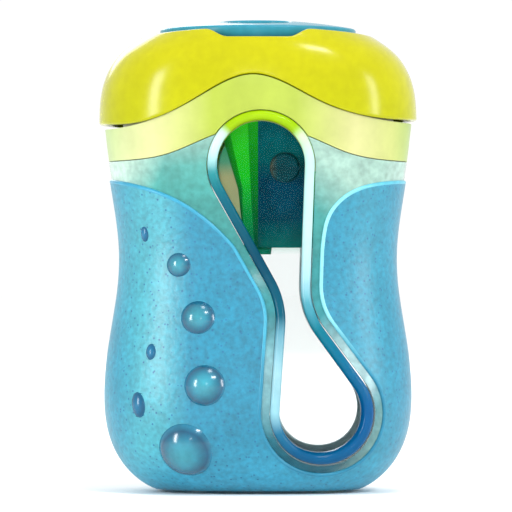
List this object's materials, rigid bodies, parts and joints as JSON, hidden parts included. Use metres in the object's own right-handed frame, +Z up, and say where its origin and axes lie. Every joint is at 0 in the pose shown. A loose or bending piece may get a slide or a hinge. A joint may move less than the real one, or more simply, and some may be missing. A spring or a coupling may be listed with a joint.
{
  "type": "pencil sharpener",
  "caption": "Canister pencil sharpener: waisted see-through shavings reservoir with looped windows and soft grip jacket, under a pull-off banded head with a rotary shutter over its pencil hole.",
  "frame": {"origin": "centre of the flat foot, on the surface the sharpener stands on", "axes": "+Z up through the head and the shutter's pivot, -Y towards the user facing the looped window, +X to that user's right"},
  "size_m": [0.0432, 0.0326, 0.064],
  "materials": {
    "lime_plastic": "gloss",
    "pale_lime_plastic": "gloss",
    "block_plastic": "gloss",
    "teal_clear_plastic": "see-through, gloss",
    "grip_rubber": "soft sheen, mottled",
    "clear_window_plastic": "clear, gloss",
    "frame_plastic": "gloss",
    "bubble_plastic": "gloss",
    "drop_plastic": "gloss",
    "shutter_plastic": "gloss",
    "blade_steel": "blued, ground",
    "screw_steel": "nickel plated"
  },
  "bodies": {
    "reservoir": {"reservoir_shell": "teal_clear_plastic", "grip_jacket": "grip_rubber", "front_window": "clear_window_plastic", "rear_window": "clear_window_plastic", "front_window_frame": "frame_plastic", "rear_window_frame": "frame_plastic", "clear_bubbles": "bubble_plastic", "blue_drops": "drop_plastic"},
    "head": {"head_shell": "lime_plastic", "inner_chassis": "pale_lime_plastic", "sharpener_block": "block_plastic", "blade": "blade_steel", "blade_screw": "screw_steel", "chassis_screws": "screw_steel", "pivot_screw": "screw_steel"},
    "shutter": {"shutter_disc": "shutter_plastic"}
  },
  "joints": [
    {"name": "head_lift", "type": "slide", "parent": "reservoir", "child": "head", "axis": [0, 0, 1], "range_m": [0, 0.036]},
    {"name": "shutter_turn", "type": "hinge", "parent": "head", "child": "shutter", "pos_m": [0, 0, 0.061], "axis": [0, 0, 1], "range_deg": [0, 180]}
  ]
}
